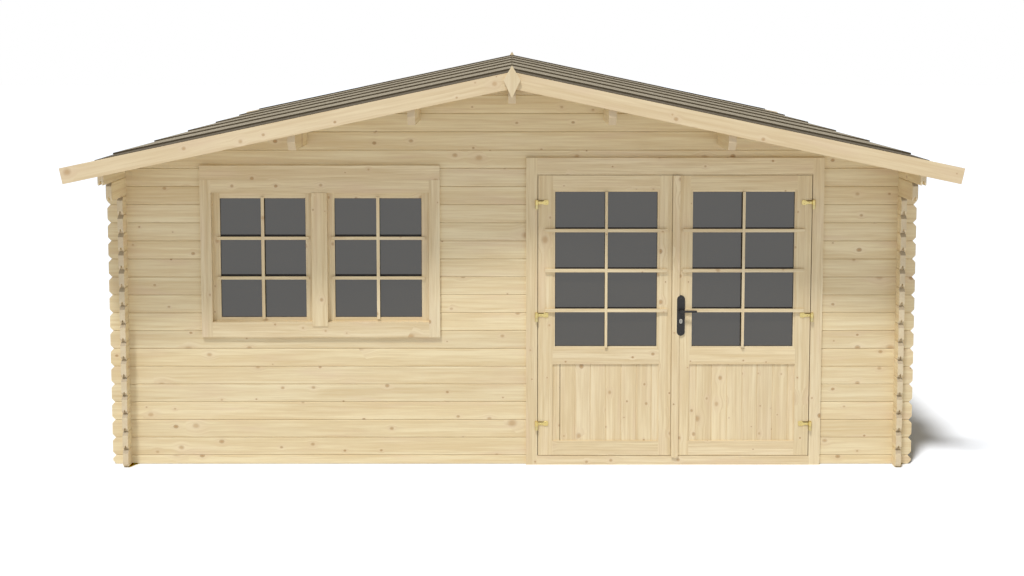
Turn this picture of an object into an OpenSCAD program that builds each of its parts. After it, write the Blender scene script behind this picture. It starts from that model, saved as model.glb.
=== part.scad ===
// Garden house of interlocking logs: a square cabin with a low gable roof, a glazed double door
// and a fixed double window in the front wall. Front faces -Y, ground is at z = 0.

/* [Logs] */
// Height of one log from joint to joint
log_h = 114; // [105:1:125]
// Thickness of a log
log_t = 34; // [28:1:44]
// Left wall to right wall, over the outer faces
house_w = 4880; // [4600:10:5000]
// Front wall to back wall, over the outer faces
house_d = 4880; // [4400:10:5100]
// How far the logs run on past a corner
corner_overhang = 85; // [60:1:120]
// Length of the bevel on a log end
end_bevel_l = 20; // [8:1:30]
// Height of the bevel on a log end
end_bevel_h = 22; // [8:1:26]
// Depth of the V groove where two logs meet
groove_d = 4; // [2:0.5:6]
// Height of that V groove
groove_h = 8; // [4:0.5:14]
// Width of the tongue on top of a log, at its foot
tongue_w = 21; // [14:0.5:22]
// Width of that tongue at its tip
tongue_tip_w = 5; // [3:0.5:10]
// Height of that tongue
tongue_h = 26; // [12:0.5:27]
// Gap between stacked logs
log_gap = 0.4; // [0.2:0.1:0.8]
// Side play of a log in its corner notch
notch_play = 0.3; // [0.1:0.1:0.8]
// Reach of the second log from the top, past the front and back walls
long_log_reach = 318; // [150:1:450]

/* [Roof] */
// Slope of the roof in degrees
roof_pitch = 12; // [8:0.5:16]
// Height of the wall plate, the top side log, at its outer face
plate_h = 125; // [90:1:140]
// Barge tip to barge tip
roof_w = 5320; // [5250:10:5600]
// Front barge face to back barge face
roof_l = 5880; // [5700:10:6200]
// Thickness of the roof boards
deck_t = 19; // [16:0.5:24]
// Width of one roof board
deck_board_w = 96; // [80:1:140]
// Depth of the V joint between boards
board_groove = 3; // [1:0.5:5]
// Roof boards past the outer face of a side wall
eave_reach = 9; // [0:1:120]
// Width of the first strip of roofing
first_strip = 430; // [200:1:900]
// Width of the next strips, less the lap. The last one is cut to fit
strip_w = 1005; // [700:5:1200]
// Thickness of the roofing
felt_t = 9; // [6.5:0.5:11]
// Lap of one strip over the one in front of it
felt_lap = 40; // [20:1:80]
// Gap between the two slopes at the ridge
ridge_gap = 4; // [1:0.5:12]
// Height of a barge board
barge_h = 96; // [80:1:120]
// Thickness of a barge board
barge_t = 19; // [16:0.5:28]
// Top of the barge board above the underside of the roof boards
barge_rise = 25; // [20:0.5:25.5]
// Height of the finial at the gable tip
finial_h = 192; // [140:1:240]
// Width of the finial
finial_w = 99; // [70:1:130]
// Thickness of the finial
finial_t = 18; // [12:0.5:24]
// Finial tip above the barge tip
finial_rise = 38; // [20:1:60]
// Finial tip down to its widest level
finial_shoulder = 86; // [60:1:110]
// Width of a purlin
purlin_w = 45; // [38:1:60]
// Height of a purlin
purlin_h = 163; // [130:1:180]
// Ridge to the first purlin
purlin_x1 = 592; // [450:1:700]
// Ridge to the second purlin
purlin_x2 = 1297; // [1150:1:1500]
// Bevel under a purlin end
purlin_bevel = 47; // [20:1:70]

/* [Frames] */
// Thickness of the casing boards round the door and the window
casing_t = 18; // [12:0.5:24]
// Joint gap between boards of one frame
board_gap = 0.4; // [0.2:0.1:0.8]

/* [Door] */
// House centre line to the left edge of the doorway
door_x0 = 159; // [100:1:220]
// Width of the doorway
door_w = 1713; // [1600:1:1760]
// Top edge of the doorway
door_top = 1843; // [1800:1:1900]
// Height of the threshold
threshold_h = 57; // [50:1:75]
// Width of the door casing
door_casing_w = 71; // [50:1:80]
// Height of the board over the doorway
door_head_h = 105; // [80:1:115]
// Thickness of the door jamb
jamb_t = 28; // [20:1:36]
// Thickness of the frame head over the doors
lintel_t = 38; // [24:1:44]
// Width of the stop that the leaves close against
stop_w = 12; // [8:1:20]
// Height of the stop on the threshold
sill_stop_h = 10; // [6:1:20]
// Thickness of a door leaf
leaf_t = 42; // [36:1:48]
// Gap all round a leaf
leaf_gap = 5; // [4:0.5:8]
// Left edge of the doorway to the line where the leaves meet
meet_from_left = 841.5; // [780:0.5:870]
// Width of the stile on the hinge side of a leaf
hinge_stile_w = 91; // [70:1:110]
// Width of the left leaf's meeting stile
left_meet_stile_w = 76.5; // [60:0.5:110]
// Width of the right leaf's meeting stile, which carries the lock
lock_stile_w = 110; // [100:1:125]
// Height of the bottom rail
bottom_rail_h = 92; // [70:1:120]
// Height of the lower panel
panel_h = 492; // [400:1:560]
// Height of the middle rail
mid_rail_h = 97; // [70:1:120]
// Height of the top rail
top_rail_h = 89; // [70:1:120]
// Lower panel set back from the face of the rails
panel_inset = 8; // [2:0.5:12]
// Width of one board of the lower panel
panel_board_w = 96; // [70:1:130]
// Width of the first, narrow board of the lower panel
panel_first_w = 47; // [30:1:60]
// Width of the glazing bead
bead_w = 14; // [10:0.5:20]
// Glazing bead set back from the face of the rails
bead_inset = 3; // [1:0.5:6]
// Thickness of every pane
glass_t = 4; // [3:0.5:6]
// Width of the upright door bar
door_bar_w = 16; // [12:1:24]
// Height of a level door bar
door_bar_h = 20; // [14:1:26]
// Thickness of the door bars
door_bar_t = 13; // [8:0.5:18]
// Level bars run this far past the glass
door_bar_reach = 62; // [20:1:68]
// Upright bar runs this far past the glass
door_bar_tip = 2; // [0:0.5:12]
// Middle rail up to the first level bar
door_bar_first = 246; // [200:1:280]
// Step from one level bar to the next
door_bar_step = 252; // [220:1:270]
// Width of the strip that covers the meeting line
cover_w = 44; // [36:1:50]
// Thickness of that strip
cover_t = 12; // [8:0.5:16]
// Foot of that strip below the leaf
cover_foot = 13; // [0:1:25]
// Radius of the corners of that foot
cover_foot_r = 10; // [4:1:12]

/* [Hinges] */
// Top ends of the hinges above the ground
hinge_tops = [282, 975, 1685]; // [100:1:1800]
// Height of a hinge barrel
barrel_h = 57; // [45:1:70]
// Radius of a hinge barrel
barrel_r = 10; // [8:0.5:12]
// Height of the strap, which is the upper part of the barrel
strap_h = 32; // [24:1:36]
// Length of the strap from the pin
strap_l = 74; // [60:1:85]
// Thickness of the strap
strap_t = 4; // [3:0.5:5]
// Radius of a hinge pin
pin_r = 4.5; // [3.5:0.25:5]
// Running clearance of a pin or spindle
run_gap = 0.1; // [0.05:0.05:0.1]
// Pin line outside the edge of the doorway
pin_set = 5; // [3:0.5:8]
// Clearance between faces that only slide past
slide_gap = 0.3; // [0.2:0.1:0.6]

/* [Handle] */
// Meeting line to the spindle
spindle_from_meet = 56.5; // [54:0.5:60]
// Spindle above the ground
spindle_z = 987; // [900:1:1050]
// Width of the handle plate
plate_w = 50; // [40:1:54]
// Spindle up to the top of the plate
plate_up = 97; // [70:1:110]
// Spindle down to the bottom of the plate
plate_down = 158; // [140:1:180]
// Thickness of the handle plate
plate_t = 9; // [6:0.5:12]
// Radius of the spindle
spindle_r = 4.5; // [4:0.25:6]
// Radius of the lever's hub
hub_r = 11; // [9:0.5:13]
// Reach of the hub out from the plate
hub_l = 34; // [30:1:45]
// Radius of the lever
lever_r = 7; // [5:0.5:9]
// Spindle to the tip of the lever
lever_l = 98; // [80:1:120]
// Spindle down to the middle of the lock
lock_drop = 66; // [55:1:80]
// Width of the lock's face
lock_w = 19; // [14:0.5:24]
// Height of the lock's face
lock_h = 29; // [24:0.5:34]
// Lock face proud of the plate
lock_out = 3; // [1:0.5:5]

/* [Window] */
// House centre line to the left edge of the window opening
win_x0 = -1876; // [-1920:1:-1800]
// Width of the window opening
win_w = 1358; // [1200:1:1400]
// Sill of the window opening
win_z0 = 912; // [880:1:940]
// Top of the window opening
win_top = 1728; // [1700:1:1740]
// Width of the casing at the sides
win_casing_w = 68; // [50:1:90]
// Height of the board below the window
win_sill_h = 95; // [70:1:120]
// Height of the lower board over the window
win_head_h = 81; // [60:1:90]
// Height of the upper board over the window
win_top_h = 90; // [60:1:100]
// Thickness of the jambs and the sill
win_jamb_t = 20; // [14:1:28]
// Thickness of the frame head
win_lintel_t = 39; // [24:1:44]
// Width of the post between the two sashes
mullion_w = 97; // [60:1:120]
// Left edge of the opening to that post
mullion_from_left = 626; // [560:1:660]
// Post stands proud of the casing
mullion_out = 4; // [2:0.5:8]
// Post runs down over the sill board
mullion_foot = 25; // [10:1:40]
// Sash set back from the face of the casing
sash_inset = 40; // [20:1:44]
// Width of the outer uprights of the sashes
sash_side_w = 48; // [36:1:60]
// Width of the uprights beside the post
sash_mid_w = 42; // [32:1:56]
// Height of the top of a sash
sash_top_h = 38; // [28:1:50]
// Height of the bottom of a sash
sash_bottom_h = 24; // [18:1:40]
// Width of a window bar
win_bar_w = 19; // [12:1:26]
// Thickness of a window bar
win_bar_t = 10; // [6:0.5:14]
// Window bars run this far past the glass
win_bar_reach = 20; // [10:1:22]

/* [Floor] */
// Height of a floor bearer
bearer_h = 28; // [20:1:32]
// Width of a floor bearer
bearer_w = 60; // [45:1:80]
// Floor bearers from front to back
bearers = 9; // [7:1:11]
// Thickness of the floor boards
floor_t = 19; // [16:0.5:22]
// Width of a floor board
floor_board_w = 96; // [80:1:140]

/* [Hidden] */
$fn = 48;

// Colours
spruce = [0.87, 0.77, 0.58];
spruce_light = [0.90, 0.82, 0.64];
felt_grey = [0.60, 0.56, 0.49];
glass_grey = [0.38, 0.37, 0.36];
brass = [0.80, 0.67, 0.30];
charcoal = [0.17, 0.17, 0.18];
steel = [0.78, 0.78, 0.76];

// House
half_w = house_w / 2;
half_d = house_d / 2;
notch_d = log_h / 4;
tiny = 0.001;
far = 10000;
wall_out = -half_d;
wall_in = wall_out + log_t;
case_out = wall_out - casing_t;
case_in = wall_in + casing_t;

// Doorway and the hole for its frame
door_x1 = door_x0 + door_w;
door_mid = (door_x0 + door_x1) / 2;
door_hole_x0 = door_x0 - jamb_t;
door_hole_x1 = door_x1 + jamb_t;
door_hole_top = door_top + lintel_t;
door_head_top = door_top + door_head_h;

// Window opening and the hole for its frame
win_x1 = win_x0 + win_w;
win_mid = (win_x0 + win_x1) / 2;
win_hole_x0 = win_x0 - win_jamb_t;
win_hole_x1 = win_x1 + win_jamb_t;
win_hole_z0 = win_z0 - win_jamb_t;
win_hole_top = win_top + win_lintel_t;

// Log courses: side logs start with a whole log, front and back logs with a half one
function side_z(k) = k * log_h;
function front_z(k) = max(0, (k + 0.5) * log_h);
function front_course(z) = floor(z / log_h - 0.5 + tiny);
plate_course = floor(door_hole_top / log_h + tiny);
sill_course = front_course(win_hole_z0);
head_course = front_course(win_hole_top);
lintel_course = max(front_course(door_hole_top), head_course + 1);

// Roof
eave_z = side_z(plate_course) + plate_h;
apex_z = eave_z + half_w * tan(roof_pitch);
function roof_z(x) = apex_z - abs(x) * tan(roof_pitch);
top_course = front_course(apex_z - log_h / 4);
barge_l = (roof_w / 2 - barge_rise * sin(roof_pitch)) / cos(roof_pitch);
deck_l = (half_w + eave_reach) / cos(roof_pitch);
purlin_places = [-purlin_x2, -purlin_x1, 0, purlin_x1, purlin_x2];
deck_half_l = roof_l / 2 - barge_t;
plate_reach = deck_half_l - half_d;
more_strips = floor((2 * deck_half_l - first_strip) / strip_w + 0.75);
function felt_lift(l) = (felt_t + slide_gap) / (1 - felt_lap / l);

// Door leaves
leaf_z0 = threshold_h + leaf_gap;
leaf_z1 = door_top - leaf_gap;
leaf_back = case_out + leaf_t;
stop_y = leaf_back + leaf_gap;
meet_x = door_x0 + meet_from_left;
left_leaf = [door_x0 + leaf_gap, meet_x - leaf_gap / 2, hinge_stile_w, left_meet_stile_w];
right_leaf = [meet_x + leaf_gap / 2, door_x1 - leaf_gap, lock_stile_w, hinge_stile_w];
panel_z0 = leaf_z0 + bottom_rail_h;
panel_z1 = panel_z0 + panel_h;
light_z0 = panel_z1 + mid_rail_h;
light_z1 = leaf_z1 - top_rail_h;
glass_y = case_out + leaf_t / 2;
left_pin_x = door_x0 - pin_set;
right_pin_x = door_x1 + pin_set;
pin_y = case_out - barrel_r - slide_gap;
spindle_x = meet_x + spindle_from_meet;

// Window sashes
mullion_x0 = win_x0 + mullion_from_left;
mullion_x1 = mullion_x0 + mullion_w;
sash_y = case_out + sash_inset;
sash_back = case_in;
sash_glass_y = (sash_y + sash_back) / 2;
win_light_z0 = win_z0 + sash_bottom_h;
win_light_z1 = win_top - sash_top_h;
left_light = [win_x0 + sash_side_w, mullion_x0 - sash_mid_w];
right_light = [mullion_x1 + sash_mid_w, win_x1 - sash_side_w];

// Floor
floor_half_w = half_w - log_t - slide_gap;
floor_y0 = case_in + slide_gap;
floor_y1 = half_d - log_t - slide_gap;
floor_z1 = bearer_h + floor_t;

// A block between two opposite corners
module slab(a, b) {
    translate(a) cube(b - a);
}

// A copy mirrored about the plane at x
module mirrored(x) {
    translate([2 * x, 0, 0]) mirror([1, 0, 0]) children();
}

// Cross section of a log, with its tapered tongue on top and the groove for one below
module log_section(z0, z1, grooved) {
    top = z1 - log_gap;
    slot_w = tongue_w + 2 * notch_play;
    slot_tip_w = tongue_tip_w + 2 * notch_play;
    slot_z = z0 + (grooved ? tongue_h + 1 : 0);
    side = log_t / 2;
    flat = side - groove_d;
    polygon([
        [-flat, z0], [-slot_w / 2, z0], [-slot_tip_w / 2, slot_z],
        [slot_tip_w / 2, slot_z], [slot_w / 2, z0],
        [flat, z0], [side, z0 + groove_h / 2], [side, top - groove_h / 2], [flat, top],
        [tongue_w / 2, top], [tongue_tip_w / 2, top + tongue_h],
        [-tongue_tip_w / 2, top + tongue_h], [-tongue_w / 2, top],
        [-flat, top], [-side, top - groove_h / 2], [-side, z0 + groove_h / 2]
    ]);
}

// Side outline of a log from x0 to x1: bevelled ends where it runs free, and a notch a quarter of
// its height deep, above and below, wherever it crosses another wall. A half log has none below.
// The tongue stops at the notch by a free end
function log_outline(x0, x1, z0, z1, crossings, free0, free1) =
    let (top = z1 + tongue_h, last = len(crossings) - 1, whole = z1 - z0 > log_h - tiny)
    concat(
        free0 ? [[x0, z0 + end_bevel_h], [x0 + end_bevel_l, z0]] : [[x0, z0]],
        [for (c = crossings) each whole
            ? [[c[0], z0], [c[0], z0 + notch_d], [c[1], z0 + notch_d], [c[1], z0]] : []],
        free1 ? [[x1 - end_bevel_l, z0], [x1, z0 + end_bevel_h]] : [[x1, z0]],
        free1 ? [[x1, z1 - end_bevel_h], [x1 - end_bevel_l, z1]] : [[x1, top]],
        [for (i = [last:-1:0]) let (c = crossings[i]) each
            [[c[1], free1 && i == last ? z1 : top], [c[1], z1 - notch_d],
             [c[0], z1 - notch_d], [c[0], free0 && i == 0 ? z1 : top]]],
        free0 ? [[x0 + end_bevel_l, z1], [x0, z1 - end_bevel_h]] : [[x0, top]]
    );

// One log along X, centred on y = 0
module log_along_x(x0, x1, z0, z1, crossings = [], free0 = false, free1 = false) {
    intersection() {
        translate([x0, 0, 0]) rotate([90, 0, 90]) linear_extrude(x1 - x0) log_section(z0, z1, z0 > 0);
        rotate([90, 0, 0]) linear_extrude(log_t + 2, center = true)
            polygon(log_outline(x0, x1, z0, z1, crossings, free0, free1));
    }
}

// Notches over a side wall, or over the front and back walls
function cross_at(mid) = [mid - log_t / 2 - notch_play, mid + log_t / 2 + notch_play];
left_cross = cross_at(-half_w + log_t / 2);
right_cross = cross_at(half_w - log_t / 2);
front_cross = cross_at(-half_d + log_t / 2);
back_cross = cross_at(half_d - log_t / 2);
log_end_x = half_w + corner_overhang;
log_end_y = half_d + corner_overhang;

// Logs of the front wall, courses k0 to k1, from x0 to x1
module front_logs(k0, k1, x0, x1) {
    at_left = x0 <= -log_end_x + tiny;
    at_right = x1 >= log_end_x - tiny;
    crossings = concat(at_left ? [left_cross] : [], at_right ? [right_cross] : []);
    translate([0, wall_out + log_t / 2, 0])
        for (k = [k0:k1])
            log_along_x(x0, x1, front_z(k), front_z(k + 1), crossings, at_left, at_right);
}

// Logs of a side wall along Y, courses k0 to k1, from -reach to reach
module side_logs(k0, k1, reach, free) {
    rotate([0, 0, 90])
        for (k = [k0:k1])
            log_along_x(-reach, reach, side_z(k), side_z(k + 1), [front_cross, back_cross], free, free);
}

// The space below the roof boards, out to x on both sides
module under_roof(x) {
    rotate([90, 0, 0]) linear_extrude(far, center = true)
        polygon([[-x, -1], [x, -1], [x, roof_z(x)], [0, apex_z], [-x, roof_z(x)]]);
}

module door_hole() {
    slab([door_hole_x0, wall_out - log_t, -1], [door_hole_x1, wall_in + log_t, door_hole_top]);
}

module window_hole() {
    slab([win_hole_x0, wall_out - log_t, win_hole_z0], [win_hole_x1, wall_in + log_t, win_hole_top]);
}

// Front wall
module front_wall_lower() {
    color(spruce) difference() {
        front_logs(-1, sill_course, -log_end_x, door_hole_x0);
        window_hole();
    }
}

module front_wall_left() {
    color(spruce) front_logs(sill_course + 1, head_course - 1, -log_end_x, win_hole_x0);
}

module front_wall_middle() {
    color(spruce) front_logs(sill_course + 1, head_course - 1, win_hole_x1, door_hole_x0);
}

module front_wall_over_window() {
    color(spruce) difference() {
        front_logs(head_course, lintel_course - 1, -log_end_x, door_hole_x0);
        window_hole();
    }
}

module front_wall_right() {
    color(spruce) front_logs(-1, lintel_course - 1, door_hole_x1, log_end_x);
}

// Gable logs stop at the wall plates, follow the slope, and let the purlins and barge boards through
module gable_logs(first) {
    inner = half_w - log_t - notch_play;
    if (first < plate_course) front_logs(first, plate_course - 1, -log_end_x, log_end_x);
    difference() {
        intersection() {
            front_logs(max(first, plate_course), top_course, -inner, inner);
            under_roof(inner);
        }
        for (x = purlin_places)
            slab([x - purlin_w / 2 - notch_play, -far, roof_z(x) - purlin_h],
                 [x + purlin_w / 2 + notch_play, 0, far]);
        barge_pair();
    }
}

module front_gable() {
    color(spruce) difference() {
        gable_logs(lintel_course);
        door_hole();
    }
}

// Back wall
module back_wall() {
    color(spruce) mirror([0, 1, 0]) front_logs(-1, plate_course - 1, -log_end_x, log_end_x);
}

module back_gable() {
    color(spruce) mirror([0, 1, 0]) gable_logs(plate_course);
}

// Side walls
module side_wall() {
    side_logs(0, plate_course - 2, log_end_y, true);
}

module side_plates() {
    side_logs(plate_course - 1, plate_course - 1, half_d + long_log_reach, true);
}

module left_wall() {
    color(spruce) translate([-half_w + log_t / 2, 0, 0]) side_wall();
}

module right_wall() {
    color(spruce) translate([half_w - log_t / 2, 0, 0]) side_wall();
}

// The long log and the wall plate on it, whose top follows the roof
module wall_plates(x) {
    translate([x, 0, 0]) side_plates();
    intersection() {
        translate([x, 0, 0]) plate_log();
        under_roof(half_w);
    }
}

module plate_log() {
    z0 = side_z(plate_course);
    rotate([0, 0, 90]) difference() {
        translate([-half_d - plate_reach, 0, 0]) rotate([90, 0, 90])
            linear_extrude(2 * (half_d + plate_reach)) log_section(z0, z0 + 2 * log_h, true);
        for (c = [front_cross, back_cross])
            slab([c[0], -log_t, z0 - 1], [c[1], log_t, z0 + notch_d]);
    }
}

module left_wall_plates() {
    color(spruce) wall_plates(-half_w + log_t / 2);
}

module right_wall_plates() {
    color(spruce) wall_plates(half_w - log_t / 2);
}

// Purlins, bevelled under both ends
module purlin(x) {
    low = roof_z(x) - purlin_h;
    end = deck_half_l;
    intersection() {
        translate([x - purlin_w / 2, 0, 0]) rotate([90, 0, 90]) linear_extrude(purlin_w)
            polygon([
                [-end + purlin_bevel, low], [end - purlin_bevel, low], [end, low + purlin_bevel],
                [end, apex_z], [-end, apex_z], [-end, low + purlin_bevel]
            ]);
        under_roof(half_w);
    }
}

module purlins() {
    color(spruce) for (x = purlin_places) purlin(x);
}

// The right slope's own frame: x runs down the slope, z stands square on it. The cut at the ridge
// is upright
module on_right_slope(gap) {
    intersection() {
        translate([0, 0, apex_z]) rotate([0, roof_pitch, 0]) children();
        slab([gap / 2, -far, 0], [far, far, far]);
    }
}

module along_slope() {
    translate([-barge_h, 0, 0]) rotate([90, 0, 90]) linear_extrude(deck_l + barge_h) children();
}

// Boards side by side from u0 to u1, with a V joint between them in the face at v0
function jointed_edge(u0, u1, pitch, first, v0, depth) = concat(
    [[u0, v0]],
    [for (u = [u0 + first:pitch:u1 - 4 * abs(depth)]) each
        [[u - abs(depth), v0], [u, v0 + depth], [u + abs(depth), v0]]],
    [[u1, v0]]
);

module roof_boards() {
    on_right_slope(slide_gap) along_slope()
        polygon(concat(
            jointed_edge(-deck_half_l, deck_half_l, deck_board_w, deck_board_w, 0, board_groove),
            [[deck_half_l, deck_t], [-deck_half_l, deck_t]]
        ));
}

module roof_boards_right() {
    color(spruce) roof_boards();
}

module roof_boards_left() {
    color(spruce) mirror([1, 0, 0]) roof_boards();
}

// The first strip lies flat. Each of the others lies on the boards at its back edge and on the strip in
// front of it at its front edge
module roofing() {
    bare = -deck_half_l + first_strip;
    on_right_slope(ridge_gap) along_slope() {
        translate([-deck_half_l, deck_t]) square([first_strip, felt_t]);
        for (i = [1:more_strips]) {
            front = bare + (i - 1) * strip_w - felt_lap;
            back = i == more_strips ? deck_half_l : bare + i * strip_w;
            lift = felt_lift(back - front);
            polygon([
                [front, deck_t + lift], [back, deck_t],
                [back, deck_t + felt_t], [front, deck_t + lift + felt_t]
            ]);
        }
    }
}

module roofing_right() {
    color(felt_grey) roofing();
}

module roofing_left() {
    color(felt_grey) mirror([1, 0, 0]) roofing();
}

// Barge boards close the ends of the roof
module barge() {
    on_right_slope(slide_gap)
        slab([-barge_h, -roof_l / 2, barge_rise - barge_h], [barge_l, -deck_half_l, barge_rise]);
}

module barge_pair() {
    barge();
    mirror([1, 0, 0]) barge();
}

module front_barges() {
    color(spruce_light) barge_pair();
}

module back_barges() {
    color(spruce_light) mirror([0, 1, 0]) barge_pair();
}

// Diamond board over the barge joint
module finial() {
    tip = apex_z + barge_rise / cos(roof_pitch) + finial_rise;
    translate([0, -roof_l / 2, tip]) rotate([90, 0, 0]) linear_extrude(finial_t)
        polygon([
            [0, 0], [-finial_w / 2, -finial_shoulder], [0, -finial_h], [finial_w / 2, -finial_shoulder]
        ]);
}

module finials() {
    color(spruce_light) {
        finial();
        mirror([0, 1, 0]) finial();
    }
}

// Floor boards from front to back, on bearers from side to side
module floor_bearers() {
    step = (floor_y1 - floor_y0 - bearer_w) / (bearers - 1);
    color(spruce) for (i = [0:bearers - 1])
        translate([-floor_half_w, floor_y0 + i * step, 0]) cube([2 * floor_half_w, bearer_w, bearer_h]);
}

module floor_boards() {
    color(spruce) translate([0, floor_y1, 0]) rotate([90, 0, 0]) linear_extrude(floor_y1 - floor_y0)
        polygon(concat(
            jointed_edge(-floor_half_w, floor_half_w, floor_board_w, floor_board_w,
                         floor_z1, -board_groove),
            [[floor_half_w, bearer_h], [-floor_half_w, bearer_h]]
        ));
}

// Door frame: casings on both faces of the wall, a jamb through it and a stop for the leaves
module door_post() {
    out = door_x0 - door_casing_w;
    slab([out, case_out, 0], [door_x0, wall_out, door_head_top]);
    slab([door_hole_x0, wall_out, 0], [door_x0, wall_in, door_hole_top]);
    slab([out, wall_in, 0], [door_x0, case_in, door_head_top]);
    slab([door_x0, stop_y, threshold_h], [door_x0 + stop_w, case_in, door_top]);
}

module door_post_left() {
    color(spruce_light) door_post();
}

module door_post_right() {
    color(spruce_light) mirrored(door_mid) door_post();
}

module door_head() {
    color(spruce_light) {
        slab([door_x0, case_out, door_top], [door_x1, wall_out, door_head_top]);
        slab([door_x0, wall_out, door_top], [door_x1, wall_in, door_hole_top]);
        slab([door_x0, wall_in, door_top], [door_x1, case_in, door_head_top]);
        slab([door_x0 + stop_w, stop_y, door_top - stop_w], [door_x1 - stop_w, case_in, door_top]);
    }
}

module door_threshold() {
    color(spruce_light) {
        slab([door_x0, case_out, 0], [door_x1, case_in, threshold_h]);
        slab([door_x0 + stop_w, stop_y, threshold_h],
             [door_x1 - stop_w, case_in, threshold_h + sill_stop_h]);
    }
}

// The fixed half of each hinge: lower barrel, neck to the casing, and the pin
module hinge_pin(x, top) {
    low_h = barrel_h - strap_h - slide_gap;
    translate([x, pin_y, top - barrel_h]) {
        cylinder(r = barrel_r, h = low_h);
        cylinder(r = pin_r, h = barrel_h - strap_t);
        slab([-barrel_r / 2, 0, 0], [barrel_r / 2, case_out - pin_y, low_h]);
    }
}

module hinge_pins() {
    color(brass) for (top = hinge_tops, x = [left_pin_x, right_pin_x]) hinge_pin(x, top);
}

// The moving half: upper barrel and the strap on the leaf, here for the left leaf
module hinge_strap(top) {
    translate([left_pin_x, pin_y, top - strap_h]) difference() {
        union() {
            cylinder(r = barrel_r, h = strap_h);
            slab([0, barrel_r - strap_t, 0], [strap_l, barrel_r, strap_h]);
        }
        translate([0, 0, -1]) cylinder(r = pin_r + run_gap, h = strap_h + 2);
    }
}

module left_door_hinges() {
    color(brass) for (top = hinge_tops) hinge_strap(top);
}

module right_door_hinges() {
    color(brass) mirrored(door_mid) for (top = hinge_tops) hinge_strap(top);
}

// Door leaves, each given as [left edge, right edge, left stile, right stile]
module leaf_stiles(leaf) {
    slab([leaf[0], case_out, leaf_z0], [leaf[0] + leaf[2], leaf_back, leaf_z1]);
    slab([leaf[1] - leaf[3], case_out, leaf_z0], [leaf[1], leaf_back, leaf_z1]);
}

module leaf_rails(leaf) {
    x0 = leaf[0] + leaf[2];
    x1 = leaf[1] - leaf[3];
    for (span = [[leaf_z0, panel_z0], [panel_z1, light_z0], [light_z1, leaf_z1]])
        slab([x0, case_out, span[0]], [x1, leaf_back, span[1]]);
}

module leaf_panel(leaf) {
    x0 = leaf[0] + leaf[2];
    x1 = leaf[1] - leaf[3];
    face = case_out + panel_inset;
    back = leaf_back - panel_inset;
    edge = jointed_edge(x0, x1, panel_board_w, panel_first_w, face, board_groove);
    rear = jointed_edge(x0, x1, panel_board_w, panel_first_w, back, -board_groove);
    translate([0, 0, panel_z0]) linear_extrude(panel_h)
        polygon(concat(edge, [for (i = [len(rear) - 1:-1:0]) rear[i]]));
}

module leaf_glass(leaf) {
    slab([leaf[0] + leaf[2], glass_y - glass_t / 2, light_z0],
         [leaf[1] - leaf[3], glass_y + glass_t / 2, light_z1]);
}

module bead_ring(leaf, y0, y1) {
    x0 = leaf[0] + leaf[2];
    x1 = leaf[1] - leaf[3];
    difference() {
        slab([x0, y0, light_z0], [x1, y1, light_z1]);
        slab([x0 + bead_w, y0 - 1, light_z0 + bead_w], [x1 - bead_w, y1 + 1, light_z1 - bead_w]);
    }
}

module leaf_beads(leaf) {
    bead_ring(leaf, case_out + bead_inset, glass_y - glass_t / 2);
    bead_ring(leaf, glass_y + glass_t / 2, leaf_back - bead_inset);
}

// Level bars lie on the stiles and carry the upright one; low_x0 is where the lowest one starts
module leaf_bars(leaf, low_x0) {
    x0 = leaf[0] + leaf[2] + bead_w;
    x1 = leaf[1] - leaf[3] - bead_w;
    mid = (x0 + x1) / 2;
    face = case_out - door_bar_t;
    for (i = [0:2]) {
        z = light_z0 + door_bar_first + i * door_bar_step;
        start = i == 0 ? max(low_x0, x0 - door_bar_reach) : x0 - door_bar_reach;
        slab([start, face, z - door_bar_h / 2], [x1 + door_bar_reach, case_out, z + door_bar_h / 2]);
    }
    slab([mid - door_bar_w / 2, face, light_z0 + bead_w - door_bar_tip],
         [mid + door_bar_w / 2, case_out, light_z1 - bead_w + door_bar_tip]);
}

module left_door_stiles() {
    color(spruce_light) leaf_stiles(left_leaf);
}

module left_door_rails() {
    color(spruce_light) leaf_rails(left_leaf);
}

module left_door_panel() {
    color(spruce) leaf_panel(left_leaf);
}

module left_door_beads() {
    color(spruce_light) leaf_beads(left_leaf);
}

module left_door_glass() {
    color(glass_grey) leaf_glass(left_leaf);
}

module left_door_bars() {
    color(spruce_light) leaf_bars(left_leaf, left_leaf[0]);
}

module spindle_bore(r) {
    translate([spindle_x, 0, spindle_z]) rotate([90, 0, 0]) cylinder(r = r, h = far);
}

module right_door_stiles() {
    color(spruce_light) difference() {
        leaf_stiles(right_leaf);
        spindle_bore(hub_r);
    }
}

module right_door_rails() {
    color(spruce_light) leaf_rails(right_leaf);
}

module right_door_panel() {
    color(spruce) leaf_panel(right_leaf);
}

module right_door_beads() {
    color(spruce_light) leaf_beads(right_leaf);
}

module right_door_glass() {
    color(glass_grey) leaf_glass(right_leaf);
}

module right_door_bars() {
    color(spruce_light) leaf_bars(right_leaf, spindle_x + plate_w / 2 + slide_gap);
}

// Upright strip over the meeting line, cut back beside the handle plate. Its round foot runs down in
// front of the threshold, clear of it
module right_door_cover_strip() {
    face = case_out - cover_t;
    color(spruce_light) difference() {
        union() {
            slab([right_leaf[0], face, leaf_z0], [right_leaf[0] + cover_w, case_out, leaf_z1]);
            translate([right_leaf[0], face, leaf_z0 - cover_foot]) cover_foot();
        }
        translate([0, case_out + 1, 0]) plate_outline(slide_gap, cover_t + 2);
    }
}

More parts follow.
